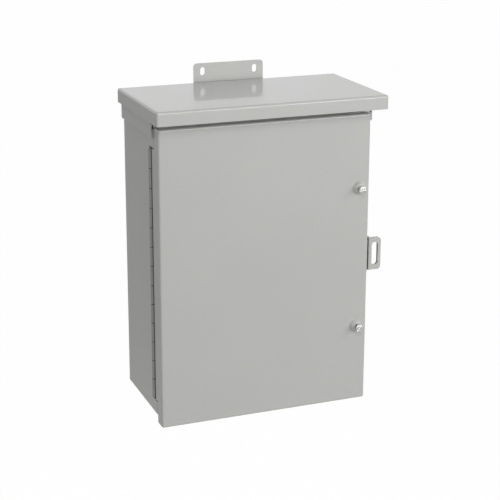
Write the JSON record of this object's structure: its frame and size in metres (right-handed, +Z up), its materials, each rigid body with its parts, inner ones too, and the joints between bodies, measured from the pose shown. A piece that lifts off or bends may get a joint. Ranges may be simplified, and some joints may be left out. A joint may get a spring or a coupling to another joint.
{
  "type": "electrical enclosure",
  "caption": "Wall-mounted sheet steel electrical enclosure with a drip cap, a hinged cover on a continuous hinge, captive cover screws and a padlock hasp.",
  "frame": {"origin": "on the wall plane, at the middle between the two slots of the upper wall bracket", "axes": "+Y into the wall that the enclosure hangs on, +Z up, +X to the right as seen from the front; the door faces -Y"},
  "size_m": [0.3291, 0.1758, 0.473],
  "materials": {
    "grey_paint": "semi-gloss powder coat",
    "plated_steel": "bright zinc plate"
  },
  "bodies": {
    "enclosure": {"body_wrap": "grey_paint", "bottom_pan": "grey_paint", "top_pan": "grey_paint", "drip_cap": "grey_paint", "top_bracket": "grey_paint", "bottom_bracket": "grey_paint", "body_staple": "grey_paint", "hinge_body_leaf": "grey_paint", "hinge_pin": "grey_paint", "upper_clinch_nut": "plated_steel", "lower_clinch_nut": "plated_steel", "panel_studs": "plated_steel", "ground_stud": "plated_steel", "ground_washer": "plated_steel", "ground_nut": "plated_steel"},
    "door": {"door_panel": "grey_paint", "hinge_door_leaf": "grey_paint", "door_hasp": "grey_paint", "door_ground_stud": "plated_steel", "door_ground_washer": "plated_steel", "door_ground_nut": "plated_steel"},
    "upper_ring": {"upper_retaining_ring": "plated_steel"},
    "upper_screw": {"upper_screw": "plated_steel"},
    "lower_ring": {"lower_retaining_ring": "plated_steel"},
    "lower_screw": {"lower_screw": "plated_steel"}
  },
  "joints": [
    {"name": "door_hinge", "type": "hinge", "parent": "enclosure", "child": "door", "pos_m": [-0.15233, -0.12312, -0.24342], "axis": [0, 0, -1], "range_deg": [0, 150]},
    {"name": "upper_screw_travel", "type": "slide", "parent": "door", "child": "upper_ring", "axis": [0, 1, 0], "range_m": [0, 0.00508]},
    {"name": "upper_screw_turn", "type": "hinge", "parent": "upper_ring", "child": "upper_screw", "pos_m": [0.1291, -0.15582, -0.14312], "axis": [0, 1, 0], "range_deg": [0, 1440]},
    {"name": "lower_screw_travel", "type": "slide", "parent": "door", "child": "lower_ring", "axis": [0, 1, 0], "range_m": [0, 0.00508]},
    {"name": "lower_screw_turn", "type": "hinge", "parent": "lower_ring", "child": "lower_screw", "pos_m": [0.1291, -0.15582, -0.33962], "axis": [0, 1, 0], "range_deg": [0, 1440]}
  ],
  "couplings": [
    {"joint": "upper_screw_turn", "follows": "upper_screw_travel", "rad_per_m": 4947.4},
    {"joint": "lower_screw_turn", "follows": "lower_screw_travel", "rad_per_m": 4947.4}
  ]
}
